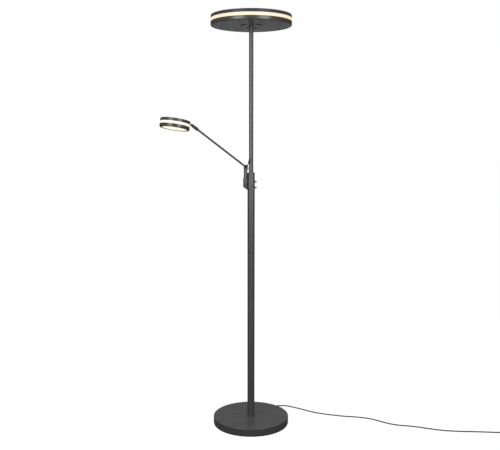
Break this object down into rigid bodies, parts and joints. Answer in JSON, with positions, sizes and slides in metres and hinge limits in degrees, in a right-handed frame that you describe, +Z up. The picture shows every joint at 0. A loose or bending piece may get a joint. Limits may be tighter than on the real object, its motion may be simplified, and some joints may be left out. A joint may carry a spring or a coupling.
{
  "type": "torchiere floor lamp",
  "caption": "Floor lamp with a round weighted base, stepped pole, flat disc uplighter lit at its side, and an adjustable reading arm with a small disc head.",
  "frame": {"origin": "on the floor, at the centre of the base pad's underside, on the pole's axis", "axes": "+Z up along the pole; -X towards the reading head; +X towards the dimmer knobs; -Y towards the side with the arm cable's boot"},
  "size_m": [1.6043, 0.4617, 1.8],
  "materials": {
    "anthracite_paint": "satin dark grey powder coat",
    "knob_paint": "satin mid grey",
    "black_plastic": "fine matte black moulding",
    "black_rubber": "matte black rubber",
    "zinc_plated_steel": "bright zinc plate",
    "blackened_steel": "blackened, low sheen",
    "cast_iron": "as cast, dark",
    "aluminium": "plain mill finish",
    "opal_diffuser": "frosted opal, lit warm white",
    "led_board": "white solder mask",
    "brass": "turned brass",
    "cable_jacket": "smooth black flexible jacket"
  },
  "bodies": {
    "stand": {"base_pad": "black_rubber", "base_weight": "cast_iron", "base_cover": "anthracite_paint", "base_stud": "zinc_plated_steel", "base_nut": "zinc_plated_steel", "base_washer": "zinc_plated_steel", "cord_gland": "black_rubber", "pole_foot": "zinc_plated_steel", "lower_pole": "anthracite_paint", "pole_reducer": "anthracite_paint", "upper_pole": "anthracite_paint", "inner_lead": "cable_jacket", "head_spigot": "brass", "head_flange": "anthracite_paint", "head_lower_shell": "anthracite_paint", "head_carrier": "aluminium", "head_nut": "brass", "head_led_board": "led_board", "head_driver": "black_plastic", "head_side_diffuser": "opal_diffuser", "head_top_ring": "anthracite_paint", "head_top_diffuser": "opal_diffuser", "dimmer_upper": "black_plastic", "dimmer_lower": "black_plastic", "arm_socket": "anthracite_paint", "socket_screw_1": "zinc_plated_steel", "socket_screw_2": "zinc_plated_steel", "socket_bush": "black_plastic", "cable_boot": "black_rubber", "arm_cable": "cable_jacket", "mains_cord": "cable_jacket", "mains_cord_coil": "cable_jacket", "cord_tie": "black_plastic", "plug_body": "black_plastic", "plug_pin_1": "brass", "plug_pin_2": "brass"},
    "knob_upper": {"dimmer_upper_shaft": "zinc_plated_steel", "dimmer_upper_knob": "knob_paint"},
    "knob_lower": {"dimmer_lower_shaft": "zinc_plated_steel", "dimmer_lower_knob": "knob_paint"},
    "swivel": {"swivel_post": "anthracite_paint", "knuckle_fork": "black_plastic", "post_washer": "zinc_plated_steel", "post_screw": "zinc_plated_steel", "knuckle_bolt": "blackened_steel", "knuckle_nut": "blackened_steel"},
    "arm": {"arm_eye": "black_plastic", "arm_tube": "anthracite_paint", "arm_end_flange": "zinc_plated_steel"},
    "head_yoke": {"head_ferrule": "black_plastic", "ferrule_collar": "black_plastic", "head_hinge_pin": "zinc_plated_steel"},
    "reading_head": {"reading_lug": "aluminium", "reading_top_shell": "anthracite_paint", "reading_side_diffuser": "opal_diffuser", "reading_lower_ring": "anthracite_paint", "reading_panel_diffuser": "opal_diffuser", "reading_carrier": "aluminium", "reading_led_board": "led_board"}
  },
  "joints": [
    {"name": "arm_swivel", "type": "hinge", "parent": "stand", "child": "swivel", "pos_m": [-0.0243, 0, 1.1078], "axis": [0, 0, 1], "range_deg": [-100, 100], "deforming": ["arm_cable"]},
    {"name": "arm_tilt", "type": "hinge", "parent": "swivel", "child": "arm", "pos_m": [-0.0243, 0, 1.157], "axis": [0, 1, 0], "range_deg": [-45, 35]},
    {"name": "head_twist", "type": "hinge", "parent": "arm", "child": "head_yoke", "pos_m": [-0.25755, 0, 1.33663], "axis": [-0.7923, 0, 0.6101], "range_deg": [-90, 90]},
    {"name": "head_tilt", "type": "hinge", "parent": "head_yoke", "child": "reading_head", "pos_m": [-0.25755, 0, 1.33663], "axis": [0.0902, -0.989, 0.1171], "range_deg": [-40, 40]},
    {"name": "dimmer_upper_turn", "type": "hinge", "parent": "stand", "child": "knob_upper", "pos_m": [0.0165, 0, 1.0924], "axis": [1, 0, 0], "range_deg": [0, 270]},
    {"name": "dimmer_lower_turn", "type": "hinge", "parent": "stand", "child": "knob_lower", "pos_m": [0.0165, 0, 1.0666], "axis": [1, 0, 0], "range_deg": [0, 270]}
  ]
}
